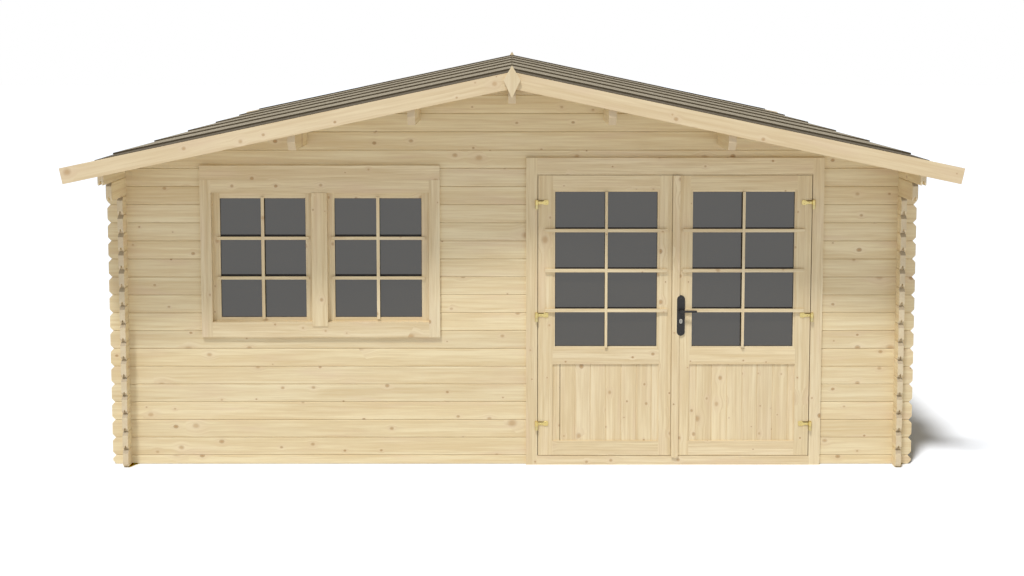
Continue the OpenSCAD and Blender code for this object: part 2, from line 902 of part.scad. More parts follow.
module cover_foot() {
    thick = cover_t - leaf_gap;
    slab([cover_foot_r, 0, 0], [cover_w - cover_foot_r, thick, cover_foot]);
    slab([0, 0, cover_foot_r], [cover_w, thick, cover_foot + leaf_gap]);
    for (x = [cover_foot_r, cover_w - cover_foot_r])
        translate([x, thick, cover_foot_r]) rotate([90, 0, 0]) cylinder(r = cover_foot_r, h = thick);
}

// Plate outline with round ends, grown by extra, running towards -Y
module plate_outline(extra, depth) {
    r = plate_w / 2 + extra;
    low = spindle_z - plate_down + plate_w / 2;
    high = spindle_z + plate_up - plate_w / 2;
    for (z = [low, high])
        translate([spindle_x, 0, z]) rotate([90, 0, 0]) cylinder(r = r, h = depth);
    slab([spindle_x - r, -depth, low], [spindle_x + r, 0, high]);
}

module handle_plates() {
    color(charcoal) difference() {
        for (y = [case_out, leaf_back + plate_t])
            translate([0, y, 0]) plate_outline(0, plate_t);
        spindle_bore(spindle_r + run_gap);
    }
}

// Face of the lock, on both plates
module lock_faces() {
    rise = (lock_h - lock_w) / 2;
    color(steel) for (y = [case_out - plate_t, leaf_back + plate_t + lock_out])
        translate([spindle_x, y, spindle_z - lock_drop]) {
            for (z = [-rise, rise])
                translate([0, 0, z]) rotate([90, 0, 0]) cylinder(r = lock_w / 2, h = lock_out);
            slab([-lock_w / 2, -lock_out, -rise], [lock_w / 2, 0, rise]);
        }
}

// Spindle through the leaf with a lever at each end
module door_handle() {
    front = case_out - plate_t - slide_gap;
    back = leaf_back + plate_t + slide_gap;
    color(charcoal) translate([spindle_x, 0, spindle_z]) {
        translate([0, back + hub_l - lever_r, 0]) rotate([90, 0, 0])
            cylinder(r = spindle_r, h = back - front + 2 * (hub_l - lever_r));
        translate([0, front, 0]) lever();
        translate([0, back, 0]) mirror([0, 1, 0]) lever();
    }
}

module lever() {
    rotate([90, 0, 0]) cylinder(r = hub_r, h = hub_l);
    translate([0, lever_r - hub_l, 0]) rotate([0, 90, 0]) cylinder(r = lever_r, h = lever_l - lever_r);
    translate([lever_l - lever_r, lever_r - hub_l, 0]) sphere(r = lever_r);
}

// Window frame: casings on both faces of the wall and a jamb through it
module window_post() {
    out = win_x0 - win_casing_w;
    low = win_z0 - win_sill_h;
    high = win_top + win_head_h - board_gap;
    slab([out, case_out, low], [win_x0, wall_out, high]);
    slab([win_hole_x0, wall_out, win_hole_z0], [win_x0, wall_in, win_hole_top]);
    slab([out, wall_in, low], [win_x0, case_in, high]);
}

module window_post_left() {
    color(spruce_light) window_post();
}

module window_post_right() {
    color(spruce_light) mirrored(win_mid) window_post();
}

module window_head() {
    high = win_top + win_head_h;
    color(spruce_light) {
        slab([win_x0, case_out, win_top], [win_x1, wall_out, high - board_gap]);
        slab([win_x0, wall_out, win_top], [win_x1, wall_in, win_hole_top]);
        slab([win_x0, wall_in, win_top], [win_x1, case_in, high - board_gap]);
        for (y = [[case_out, wall_out], [wall_in, case_in]])
            slab([win_x0 - win_casing_w, y[0], high], [win_x1 + win_casing_w, y[1], high + win_top_h]);
    }
}

module window_sill() {
    low = win_z0 - win_sill_h;
    color(spruce_light) {
        slab([win_x0, case_out, low], [win_x1, wall_out, win_z0]);
        slab([win_x0, wall_out, win_hole_z0], [win_x1, wall_in, win_z0]);
        slab([win_x0, wall_in, low], [win_x1, case_in, win_z0]);
    }
}

module window_mullion() {
    color(spruce_light) {
        slab([mullion_x0, case_out - mullion_out, win_z0 - mullion_foot], [mullion_x1, case_out, win_top]);
        slab([mullion_x0, case_out, win_z0], [mullion_x1, case_in, win_top]);
    }
}

module sash(x0, x1, light) {
    difference() {
        slab([x0, sash_y, win_z0], [x1, sash_back, win_top]);
        slab([light[0], sash_y - 1, win_light_z0], [light[1], sash_back + 1, win_light_z1]);
    }
}

module window_sashes() {
    color(spruce_light) {
        sash(win_x0, mullion_x0, left_light);
        sash(mullion_x1, win_x1, right_light);
    }
}

module window_glass() {
    color(glass_grey) for (light = [left_light, right_light])
        slab([light[0], sash_glass_y - glass_t / 2, win_light_z0],
             [light[1], sash_glass_y + glass_t / 2, win_light_z1]);
}

// Two panes wide and three high, the bars lying on the sash
module sash_bars(light) {
    mid = (light[0] + light[1]) / 2;
    half = win_bar_w / 2;
    face = sash_y - win_bar_t;
    for (i = [1, 2]) {
        z = win_light_z0 + i * (win_light_z1 - win_light_z0) / 3;
        slab([light[0] - win_bar_reach, face, z - half], [light[1] + win_bar_reach, sash_y, z + half]);
    }
    slab([mid - half, face, win_light_z0 - win_bar_reach / 2],
         [mid + half, sash_y, win_light_z1 + win_bar_reach / 2]);
}

module window_bars() {
    color(spruce_light) {
        sash_bars(left_light);
        sash_bars(right_light);
    }
}

front_wall_lower();
front_wall_left();
front_wall_middle();
front_wall_over_window();
front_wall_right();
front_gable();
back_wall();
back_gable();
left_wall();
right_wall();
left_wall_plates();
right_wall_plates();
purlins();
roof_boards_left();
roof_boards_right();
roofing_left();
roofing_right();
front_barges();
back_barges();
finials();
floor_bearers();
floor_boards();
door_post_left();
door_post_right();
door_head();
door_threshold();
hinge_pins();
window_post_left();
window_post_right();
window_head();
window_sill();
window_mullion();
window_sashes();
window_glass();
window_bars();
left_door_stiles();
left_door_rails();
left_door_panel();
left_door_beads();
left_door_glass();
left_door_bars();
left_door_hinges();
right_door_stiles();
right_door_rails();
right_door_panel();
right_door_beads();
right_door_glass();
right_door_bars();
right_door_hinges();
right_door_cover_strip();
handle_plates();
lock_faces();
door_handle();
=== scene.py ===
import math

import bpy
import numpy as np
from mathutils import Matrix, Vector


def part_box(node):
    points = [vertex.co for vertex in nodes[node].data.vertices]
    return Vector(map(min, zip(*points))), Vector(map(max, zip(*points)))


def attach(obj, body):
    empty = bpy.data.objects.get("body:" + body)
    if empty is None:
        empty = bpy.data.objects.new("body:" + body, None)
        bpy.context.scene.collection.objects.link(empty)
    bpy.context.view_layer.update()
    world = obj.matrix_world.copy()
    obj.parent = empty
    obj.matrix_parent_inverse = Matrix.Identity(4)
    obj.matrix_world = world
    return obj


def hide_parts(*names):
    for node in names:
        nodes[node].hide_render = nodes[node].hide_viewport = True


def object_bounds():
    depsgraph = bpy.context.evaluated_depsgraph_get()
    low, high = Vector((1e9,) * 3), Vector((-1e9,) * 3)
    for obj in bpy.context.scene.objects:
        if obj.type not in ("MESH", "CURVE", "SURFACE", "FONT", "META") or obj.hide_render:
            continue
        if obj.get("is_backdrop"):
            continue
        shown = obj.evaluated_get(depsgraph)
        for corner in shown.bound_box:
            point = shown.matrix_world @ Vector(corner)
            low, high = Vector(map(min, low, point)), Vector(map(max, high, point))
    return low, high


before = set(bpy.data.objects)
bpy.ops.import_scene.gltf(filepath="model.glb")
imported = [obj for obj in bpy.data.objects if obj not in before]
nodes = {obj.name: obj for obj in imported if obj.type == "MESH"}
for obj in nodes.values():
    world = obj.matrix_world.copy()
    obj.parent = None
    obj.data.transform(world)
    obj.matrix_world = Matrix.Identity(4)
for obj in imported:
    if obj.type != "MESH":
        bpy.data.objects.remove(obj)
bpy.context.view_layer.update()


def fromScreen(red, green, blue):
    # a colour as a screen shows it, 0 to 255, turned into the linear one that shaders use
    part = np.array([red, green, blue]) / 255
    line = np.where(part <= 0.04045, part / 12.92, ((part + 0.055) / 1.055) ** 2.4)
    return (*[float(value) for value in line], 1.0)


# one output of a shader node: operators on it add Math nodes, node() adds any other kind
class Sock:
    def __init__(self, socket):
        self.socket = socket
        self.tree = socket.id_data

    def node(self, kind, settings=None, sockets=None, out=0):
        made = self.tree.nodes.new("ShaderNode" + kind)
        for name, value in (settings or {}).items():
            setattr(made, name, value)
        for key, value in (sockets or {}).items():
            if isinstance(value, Sock):
                self.tree.links.new(value.socket, made.inputs[key])
            else:
                made.inputs[key].default_value = value
        return Sock(made.outputs[out])

    def out(self, name):
        return Sock(self.socket.node.outputs[name])

    def math(self, operation, *values):
        return self.node("Math", {"operation": operation}, dict(enumerate(values)))

    def __add__(self, other):
        return self.math("ADD", self, other)

    def __sub__(self, other):
        return self.math("SUBTRACT", self, other)

    def __mul__(self, other):
        return self.math("MULTIPLY", self, other)

    def __truediv__(self, other):
        return self.math("DIVIDE", self, other)

    def __pow__(self, other):
        return self.math("POWER", self, other)

    def __gt__(self, other):
        return self.math("GREATER_THAN", self, other)

    def __lt__(self, other):
        return self.math("LESS_THAN", self, other)

    def __abs__(self):
        return self.math("ABSOLUTE", self)

    def __rsub__(self, other):
        return self.math("SUBTRACT", other, self)

    __radd__ = __add__
    __rmul__ = __mul__

    def rise(self, low, high):  # 0 below low, 1 above high, smooth between
        return self.node("MapRange", {"interpolation_type": "SMOOTHSTEP"},
                         {"Value": self, "From Min": low, "From Max": high})

    def mix(self, first, second):  # colours, with this value as the share of the second
        return self.node("Mix", {"data_type": "RGBA"}, {0: self, 6: first, 7: second}, 2)

    def split(self):
        parts = self.node("SeparateXYZ", None, {0: self})
        return [parts.out(name) for name in "XYZ"]

    def join(self, first, second, third):  # three values as one vector
        return self.node("CombineXYZ", None, {0: first, 1: second, 2: third})

    def noise(self, scale=1.0, detail=2.0, roughness=0.5):  # at this place, from 0 to 1
        return self.node("TexNoise", None, {"Vector": self, "Scale": scale, "Detail": detail,
                                            "Roughness": roughness})


def newMaterial(name):
    material = bpy.data.materials.new(name)
    material.use_nodes = True
    tree = material.node_tree
    shader = tree.nodes["Principled BSDF"]
    place = tree.nodes.new("ShaderNodeTexCoord")
    return material, shader, Sock(place.outputs["Object"]), Sock(place.outputs["Normal"])


def plug(shader, values):
    for name, value in values.items():
        if isinstance(value, Sock):
            shader.id_data.links.new(value.socket, shader.inputs[name])
        else:
            shader.inputs[name].default_value = value


def bumpFrom(height, strength, distance):
    return height.node("Bump", None, {"Strength": strength, "Distance": distance, "Height": height})


def wear(material, *names):
    for name in names:
        mesh = nodes[name].data
        mesh.materials.clear()
        mesh.materials.append(material)


# spruce, planed and untreated: along and across are how often a pattern repeats in a metre
spruce = {
    "pale": fromScreen(237, 223, 188), "warm": fromScreen(223, 203, 163),
    "blush": fromScreen(221, 196, 168), "late": fromScreen(205, 181, 139),
    "knot": fromScreen(174, 135, 88), "knotRim": fromScreen(144, 107, 62),
    "endGrain": fromScreen(207, 191, 165), "endShare": 0.55,
    # painted shade on end faces that face up, and its share
    "bevel": fromScreen(150, 134, 110), "bevelShare": 0.6,
    # painted shade at the joints between logs and between boards, and its share
    "jointShade": fromScreen(156, 134, 98), "jointShadeShare": 0.18,
    "ringGap": 0.0048, "ringShare": 0.20, "pithUp": 0.09, "pithIn": 0.20,
    "wander": 0.011, "wanderAlong": 0.55, "wanderAcross": 4.5,
    "streakAlong": 2.4, "streakAcross": 62, "broadAlong": 0.5, "broadAcross": 17,
    "lineAlong": 3.6, "lineAcross": 125, "lineShare": 0.30,
    "fibreAlong": 7, "fibreAcross": 330, "fibreShare": 0.22,
    "blotchAlong": 1.7, "blotchAcross": 9, "blotchShare": 0.45,
    "knotAlong": 5.0, "knotAcross": 6.6, "knotShare": 0.50, "knotLeast": 0.025, "knotMore": 0.060,
    "knotRagged": 0.03, "fadedShare": 0.3, "fadedGrowth": 0.8, "haloShare": 0.20,
    "tone": 0.95, "toneSpread": 0.07, "gloss": 0.25, "rough": 0.50,
    "reliefStrength": 0.35, "reliefDepth": 0.0006,
}


def woodFinish(name, axes, look, jointShades=None):
    # rings round a pith that differs from board to board, streaks and fibres drawn out along the
    # grain, and knots that the grain runs round; axes gives the place along, across and into the
    # board, the board's number, the middle of the board and how far a face looks along the grain
    material, shader, place, facing = newMaterial(name)
    along, across, into, board, middle, endOn = axes(place, facing)
    chance = board.node("TexWhiteNoise", {"noise_dimensions": "1D"}, {"W": board}, "Color")
    chanceA, chanceB, chanceC = chance.split()
    run = along + chanceA * 40
    height = across - middle

    # knots: one in some cells of a Voronoi pattern
    cell = place.join(run * look["knotAlong"], (height + chanceB * 9) * look["knotAcross"], 0.0)
    ragged = place.join(run, height, into).noise(38, 2)
    knots = cell.node("TexVoronoi", {"voronoi_dimensions": "2D"}, {"Vector": cell, "Scale": 1.0})
    chances = knots.out("Color").split()
    there = chances[0] < look["knotShare"]
    faded = chances[2] < look["fadedShare"]
    size = look["knotLeast"] + look["knotMore"] * chances[1] ** 2.2
    size = size * (1 + look["fadedGrowth"] * faded)
    span = knots.out("Distance") + (ragged - 0.5) * look["knotRagged"]
    core = (1 - span.rise(size * 0.35, size * 1.15)) * there
    rim = (span.rise(size * 0.5, size * 0.9) - span.rise(size, size * 1.4)) * there
    halo = (1 - span.rise(size, size * 4.5)) * there
    fromKnot = cell.node("VectorMath", {"operation": "SUBTRACT"},
                         {0: cell, 1: knots.out("Position")}).split()[1]
    bent = height - fromKnot * halo * (0.75 / look["knotAcross"])

    def drawn(level, pattern, detail=2, roughness=0.5):
        # noise drawn out along the grain
        fine = look[pattern + "Across"]
        spot = place.join(run * look[pattern + "Along"], level * fine, into * fine)
        return spot.noise(1.0, detail, roughness)

    # rings and streaks
    pithUp = bent - (chanceB - 0.5) * look["pithUp"]
    pithIn = into - (chanceC - 0.5) * look["pithIn"]
    wander = drawn(bent, "wander") - 0.5
    fromPith = (pithUp * pithUp + pithIn * pithIn) ** 0.5 + wander * look["wander"]
    gap = look["ringGap"] * (0.75 + 0.6 * chanceC)
    ring = place.math("FRACT", fromPith / gap)
    late = ring.rise(0.35, 0.9) - ring.rise(0.93, 1.0)
    streak = drawn(bent, "streak", 4, 0.6)
    broad = drawn(bent, "broad")
    line = drawn(bent, "line", 2, 0.6)
    fibres = drawn(bent, "fibre", 2, 0.6)
    blotch = drawn(height, "blotch")

    colour = (0.6 * streak + 0.4 * broad).rise(0.36, 0.64).mix(look["pale"], look["warm"])
    colour = (line.rise(0.46, 0.74) * look["lineShare"]).mix(colour, look["late"])
    colour = (late * look["ringShare"]).mix(colour, look["late"])
    colour = (blotch.rise(0.52, 0.78) * look["blotchShare"]).mix(colour, look["blush"])
    colour = (fibres.rise(0.55, 0.85) * look["fibreShare"]).mix(colour, look["late"])
    tone = look["tone"] + look["toneSpread"] * chanceB  # boards differ in depth and in yellow
    tint = place.join(tone, tone - 0.012 * chanceC, tone - 0.05 * chanceC)
    colour = place.node("VectorMath", {"operation": "MULTIPLY"}, {0: colour, 1: tint})
    colour = (halo * look["haloShare"]).mix(colour, look["blush"])
    colour = (core * (0.45 + 0.4 * chances[2])).mix(colour, look["knot"])
    colour = (rim * (0.5 * chances[2])).mix(colour, look["knotRim"])

    # end grain, painted shade on the upward-facing bevel of a log end, and painted shade at the
    # joints
    ends = endOn.rise(0.5, 0.65)
    colour = (ends * look["endShare"]).mix(colour, look["endGrain"])
    upper = facing.split()[2].rise(0.3, 0.5)
    colour = (ends * upper * look["bevelShare"]).mix(colour, look["bevel"])
    # painted shade along the joints, where a mask is given
    if jointShades is not None:
        colour = (jointShades(place) * look["jointShadeShare"]).mix(colour, look["jointShade"])
    relief = 0.5 * late + 0.4 * fibres + 0.5 * streak + 0.4 * line + rim
    plug(shader, {"Base Color": colour, "Roughness": look["rough"] + 0.16 * streak - 0.12 * core,
                  "Specular IOR Level": look["gloss"],
                  "Normal": bumpFrom(1 - relief, look["reliefStrength"], look["reliefDepth"])})
    return material


# how the boards lie: each rule gives along, across, into, board, middle and endOn; the numbers
# added to a board's count only keep boards of different pieces from looking alike
# log courses, and the core and edge of the painted shade at the joints
logs = {"height": 0.114, "frontJoint": 0.057, "sideJoint": 0.0, "jointShadeCore": 0.006,
        "jointShadeEdge": 0.032}


def frontLogAxes(place, facing):
    x, y, z = place.split()
    course = place.math("FLOOR", (z - logs["frontJoint"]) / logs["height"])
    middle = (course + 0.5) * logs["height"] + logs["frontJoint"]
    return x, z, y, course + 60 * (y > 0.0) + 20, middle, abs(facing.split()[0])


def sideLogAxes(place, facing):
    x, y, z = place.split()
    course = place.math("FLOOR", (z - logs["sideJoint"]) / logs["height"])
    middle = (course + 0.5) * logs["height"] + logs["sideJoint"]
    return y, z, x, course + 60 * (x > 0.0) + 150, middle, abs(facing.split()[1])


def logJointShade(joint):
    # painted shade at the joints, in the grooves between the logs; core and edge are shares of a
    # log's height
    def jointShade(place):
        z = place.split()[2]
        part = place.math("FRACT", (z - joint) / logs["height"] + 0.5)
        return 1 - abs(part - 0.5).rise(logs["jointShadeCore"], logs["jointShadeEdge"])
    return jointShade


def boardAxes(grain, seed, middle=0.0, cuts=()):
    # grain names the way that the fibres run, cuts are the places across where a new board starts
    order = {"x": (0, 2, 1), "y": (1, 0, 2), "z": (2, 0, 1)}[grain]

    def axes(place, facing):
        parts = place.split()
        along, across, into = (parts[i] for i in order)
        board = seed + 0 * across
        for cut in cuts:
            board = board + (across > cut)
        return along, across, into, board, middle, abs(facing.split()[order[0]])
    return axes


def rowAxes(grain, seed, start, pitch):
    # boards of one width side by side
    order = {"y": (1, 0, 2), "z": (2, 0, 1)}[grain]

    def axes(place, facing):
        parts = place.split()
        along, across, into = (parts[i] for i in order)
        count = place.math("FLOOR", (across - start) / pitch)
        middle = (count + 0.5) * pitch + start
        return along, across, into, count + seed, middle, abs(facing.split()[order[0]])
    return axes


roof = {"pitch": 12.0, "boardWidth": 0.096, "halfLength": 2.921, "bargeMiddle": 2.42,
        "purlinCuts": (-0.9, -0.3, 0.3, 0.9)}


def slopeAxes(seed, start=None, pitch=1.0):
    # the fibres run down the slope, the same on both sides of the ridge
    lean = math.radians(roof["pitch"])

    def axes(place, facing):
        x, y, z = place.split()
        down = abs(x) * math.cos(lean) - z * math.sin(lean)
        square = abs(x) * math.sin(lean) + z * math.cos(lean)
        endOn = abs(facing.split()[0]) * math.cos(lean)
        side = 40 * (x > 0.0)
        if start is None:
            return down, square, y, seed + side + 20 * (y > 0.0), roof["bargeMiddle"], endOn
        count = place.math("FLOOR", (y - start) / pitch)
        return down, y, square, count + side + seed, (count + 0.5) * pitch + start, endOn
    return axes


def frameAxes(seed, uprights):
    # a frame of level and upright pieces: uprights lists the spans in x where the fibres run up
    def axes(place, facing):
        x, y, z = place.split()
        up = 0 * x
        board = seed + 0 * x
        for low, high in uprights:
            up = up + (x > low) * (x < high)
            board = board + (x > low)
        along = x + (z - x) * up
        across = z + (x - z) * up
        endOn = abs(facing.split()[0]) * (1 - up) + abs(facing.split()[2]) * up
        return along, across, y, board + 7 * up, 0.0, endOn
    return axes


frontLogs = woodFinish("front_log_spruce", frontLogAxes, spruce, logJointShade(logs["frontJoint"]))
sideLogs = woodFinish("side_log_spruce", sideLogAxes, spruce, logJointShade(logs["sideJoint"]))
wear(frontLogs, "front_wall_lower", "front_wall_left", "front_wall_middle",
     "front_wall_over_window", "front_wall_right", "front_gable", "back_wall", "back_gable")
wear(sideLogs, "left_wall", "right_wall", "left_wall_plates", "right_wall_plates")
print("logs done")

planed = dict(spruce, pale=fromScreen(236, 221, 187), warm=fromScreen(220, 200, 162),
              ringGap=0.0042, lineShare=0.5, knotAlong=7.0, knotAcross=8.0, knotShare=0.42,
              knotLeast=0.030, knotMore=0.075)
# where one board ends and the next begins; doorBar and windowBar are half widths
joinery = {"headBoard": 0.0902, "headMiddle": 1.8, "railMiddle": 0.9, "railCuts": (0.3, 1.2),
           "bead": 0.014, "doorBar": 0.0081, "sashOuter": 0.048, "sashInner": 0.042,
           "windowBar": 0.0096, "floorBoard": 0.096}


def spanX(name):
    low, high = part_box(name)
    return low.x, high.x


def uprightMiddle(name):
    low, high = spanX(name)
    return (low + high) / 2


for number, name in enumerate(["door_post_left", "door_post_right", "window_post_left",
                               "window_post_right", "window_mullion", "right_door_cover_strip"]):
    rule = boardAxes("z", 300 + 3 * number, uprightMiddle(name))
    wear(woodFinish(name + "_spruce", rule, planed), name)
for number, name in enumerate(["left_door_stiles", "right_door_stiles"]):
    cut = uprightMiddle(name)
    wear(woodFinish(name + "_spruce", boardAxes("z", 340 + 3 * number, cut, [cut]), planed), name)
for number, name in enumerate(["left_door_rails", "right_door_rails"]):
    rule = boardAxes("x", 350 + 5 * number, joinery["railMiddle"], joinery["railCuts"])
    wear(woodFinish(name + "_spruce", rule, planed), name)
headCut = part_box("window_head")[1].z - joinery["headBoard"]
headRule = boardAxes("x", 370, joinery["headMiddle"], [headCut])
wear(woodFinish("window_head_spruce", headRule, planed), "window_head")
for number, name in enumerate(["door_head", "door_threshold", "window_sill"]):
    low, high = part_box(name)
    rule = boardAxes("x", 380 + 3 * number, (low.z + high.z) / 2)
    wear(woodFinish(name + "_spruce", rule, planed), name)


def framePiece(name, seed, uprights):
    # each upright reaches as far to the left of its place as to the right
    spans = [(place - reach, place + reach) for place, reach in uprights]
    wear(woodFinish(name + "_spruce", frameAxes(seed, spans), planed), name)


for number, side in enumerate(["left", "right"]):
    low, high = spanX(side + "_door_beads")
    beadEdges = [(low, joinery["bead"]), (high, joinery["bead"])]
    framePiece(side + "_door_beads", 400 + 10 * number, beadEdges)
    framePiece(side + "_door_bars", 420 + 10 * number, [((low + high) / 2, joinery["doorBar"])])
mullionLow, mullionHigh = spanX("window_mullion")
sashLow, sashHigh = spanX("window_sashes")
outer, inner = joinery["sashOuter"], joinery["sashInner"]
framePiece("window_sashes", 440, [(sashLow, outer), (mullionLow, inner), (mullionHigh, inner),
                                  (sashHigh, outer)])
lightMiddles = [(sashLow + outer + mullionLow - inner) / 2,
                (sashHigh - outer + mullionHigh + inner) / 2]
framePiece("window_bars", 460, [(middle, joinery["windowBar"]) for middle in lightMiddles])
print("frames and leaves done")

barge = dict(planed, pale=fromScreen(231, 213, 178), warm=fromScreen(217, 195, 158), lineShare=0.3)
wear(woodFinish("barge_spruce", slopeAxes(500), barge), "front_barges", "back_barges")
wear(woodFinish("finial_spruce", boardAxes("z", 560), planed), "finials")
roofRule = slopeAxes(600, -roof["halfLength"], roof["boardWidth"])
wear(woodFinish("roof_board_spruce", roofRule, spruce), "roof_boards_left", "roof_boards_right")
# purlin ends: darker end grain, partly the wood's own colour and partly painted shade from the
# barge above
purlinEndGrainAndShade = dict(spruce, endGrain=fromScreen(205, 185, 153), endShare=0.9)
purlinRule = boardAxes("y", 700, 0.0, roof["purlinCuts"])
wear(woodFinish("purlin_spruce", purlinRule, purlinEndGrainAndShade), "purlins")
floorRule = rowAxes("y", 720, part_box("floor_boards")[0].x, joinery["floorBoard"])
wear(woodFinish("floor_board_spruce", floorRule, spruce), "floor_boards")
bearers = dict(spruce, pale=fromScreen(206, 190, 150))
wear(woodFinish("bearer_spruce", boardAxes("x", 800), bearers), "floor_bearers")
# the panels' dark joint colour is painted shade in an open joint
panels = dict(planed, lineShare=0.35, knotAlong=7.5, knotAcross=9.0, knotShare=0.6, knotLeast=0.030,
              knotMore=0.085, jointShade=fromScreen(112, 90, 62), jointShadeShare=0.8)
panelBoards = {"first": 0.047, "width": 0.096, "openJointShade": 0.0022}


def openJointShade(x):
    # painted shade in the gap where the first board of a panel has shrunk away from the next one
    def jointShade(place):
        half = panelBoards["openJointShade"]
        return 1 - abs(place.split()[0] - x).rise(half * 0.6, half * 1.4)
    return jointShade


for number, side in enumerate(["left", "right"]):
    name = side + "_door_panel"
    joint = spanX(name)[0] + panelBoards["first"]
    rule = rowAxes("z", 820 + 20 * number, joint - panelBoards["width"], panelBoards["width"])
    jointShade = openJointShade(joint) if side == "left" else None
    wear(woodFinish(name + "_spruce", rule, panels, jointShade), name)
print("roof, floor and panels done")

# mineral-faced roofing: grey-brown granules on top, bare bitumen on the edges and the first strip
roofing = {"grain": fromScreen(158, 148, 127), "dark": fromScreen(112, 102, 85),
           "light": fromScreen(192, 182, 160), "bitumen": fromScreen(88, 78, 61),
           "granules": 620, "patches": 1.6, "lightShare": 0.7, "patchShare": 0.28,
           "bareFront": 0.43, "bareShare": 0.96}


def roofingFinish():
    material, shader, place, facing = newMaterial("roofing_granules")
    fine = place.noise(roofing["granules"], 2, 0.7)
    broad = place.noise(roofing["patches"], 3, 0.6)
    colour = fine.rise(0.35, 0.50).mix(roofing["dark"], roofing["grain"])
    colour = (fine.rise(0.56, 0.72) * roofing["lightShare"]).mix(colour, roofing["light"])
    colour = (broad.rise(0.45, 0.75) * roofing["patchShare"]).mix(colour, roofing["dark"])
    top = facing.split()[2].rise(0.7, 0.9)
    bare = place.split()[1] < roofing["bareFront"] - roof["halfLength"]
    colour = (top * (1 - roofing["bareShare"] * bare)).mix(roofing["bitumen"], colour)
    plug(shader, {"Base Color": colour, "Roughness": 0.80 + 0.15 * fine, "Specular IOR Level": 0.2,
                  "Normal": bumpFrom(fine, 0.55, 0.0012)})
    return material


wear(roofingFinish(), "roofing_left", "roofing_right")

# tinted panes: nearly black behind, a strong even reflection in front
pane = {"tint": (0.026, 0.0225, 0.0165, 1.0), "shine": (1.0, 0.965, 0.905, 1.0), "bend": 1.88,
        "roughness": 0.03, "ripples": 3.0}


def glassFinish():
    material, shader, place, facing = newMaterial("tinted_glass")
    ripple = place.noise(pane["ripples"], 2)
    plug(shader, {"Base Color": pane["tint"], "IOR": pane["bend"], "Specular Tint": pane["shine"],
                  "Roughness": pane["roughness"] + 0.02 * ripple,
                  "Normal": bumpFrom(ripple, 0.04, 0.001)})
    return material


wear(glassFinish(), "window_glass", "left_door_glass", "right_door_glass")

metals = {
    "hinge_brass": {"colour": fromScreen(206, 190, 138), "stain": fromScreen(158, 132, 70),
                    "metal": 0.9, "roughness": 0.34,
                    "nodes": ["hinge_pins", "left_door_hinges", "right_door_hinges"]},
    "charcoal_metal": {"colour": fromScreen(46, 44, 43), "stain": fromScreen(32, 31, 30),
                       "metal": 0.4, "roughness": 0.42, "nodes": ["handle_plates", "door_handle"]},
    "lock_steel": {"colour": fromScreen(176, 171, 160), "stain": fromScreen(132, 128, 120),
                   "metal": 0.9, "roughness": 0.30, "nodes": ["lock_faces"]},
}
metalGrain = {"mottles": 85, "stainShare": 0.45, "brushAcross": 1500, "brushAlong": 90}


def metalFinish(name, look):
    # a mottled stain, and fine marks brushed up and down
    material, shader, place, facing = newMaterial(name)
    mottle = place.noise(metalGrain["mottles"], 3, 0.6)
    x, y, z = place.split()
    across = metalGrain["brushAcross"]
    brushed = place.join(x * across, y * across, z * metalGrain["brushAlong"]).noise(1.0, 2)
    stained = mottle.rise(0.5, 0.8) * metalGrain["stainShare"]
    plug(shader, {"Base Color": stained.mix(look["colour"], look["stain"]),
                  "Metallic": look["metal"],
                  "Roughness": look["roughness"] + 0.14 * (mottle - 0.5) + 0.06 * brushed,
                  "Normal": bumpFrom(brushed, 0.08, 0.0002)})
    return material


for name, look in metals.items():
    wear(metalFinish(name, look), *look["nodes"])
print("roofing, glass and metal done")


# new pieces: each part is a row of closed rings, neighbours joined and both ends capped
def closedSkin(parts):
    points, faces, start = [], [], 0
    for rings in parts:
        spokes = rings[0] - rings[0].mean(0)
        turn = np.cross(spokes, np.roll(spokes, -1, 0)).sum(0)
        if turn @ (rings[-1].mean(0) - rings[0].mean(0)) < 0:  # so that faces point outwards
            rings = rings[:, ::-1]
        count, around = rings.shape[:2]
        i, j = np.meshgrid(np.arange(count - 1), np.arange(around), indexing="ij")
        k = (j + 1) % around
        sides = np.stack([i * around + j, i * around + k,
                          (i + 1) * around + k, (i + 1) * around + j], -1)
        caps = np.arange(around)[::-1], (count - 1) * around + np.arange(around)
        faces += (start + sides.reshape(-1, 4)).tolist() + [(start + cap).tolist() for cap in caps]
        points.append(rings.reshape(-1, 3))
        start += count * around
    return np.concatenate(points), faces


def addPiece(name, parts, body, material, smoothAngle=None):
    points, faces = closedSkin(parts)
    mesh = bpy.data.meshes.new(name)
    mesh.from_pydata(points.tolist(), [], faces)
    if smoothAngle is not None:
        mesh.shade_smooth()
        mesh.set_sharp_from_angle(angle=math.radians(smoothAngle))
    mesh.materials.append(material)
    piece = bpy.data.objects.new(name, mesh)
    bpy.context.scene.collection.objects.link(piece)
    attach(piece, body)
    return piece


crossAxes = [(1, 2), (2, 0), (0, 1)]  # the two axes square to x, y and z


def barRings(low, high, axis, edge):
    # a bar between two corners: a rectangle with its corners cut by edge, swept along the axis,
    # and drawn in by edge at both ends
    low, high = np.array(low, float), np.array(high, float)
    u, v = crossAxes[axis]
    along = np.array([low[axis], low[axis] + edge, high[axis] - edge, high[axis]])
    inset = np.array([edge, 0, 0, edge])
    a, b, c, d = low[u] + inset, high[u] - inset, low[v] + inset, high[v] - inset
    rings = np.empty((4, 8, 3))
    rings[..., axis] = along[:, None]
    rings[..., u] = np.stack([a + edge, b - edge, b, b, b - edge, a + edge, a, a], 1)
    rings[..., v] = np.stack([c, c, c + edge, d - edge, d, d, d - edge, c + edge], 1)
    return rings


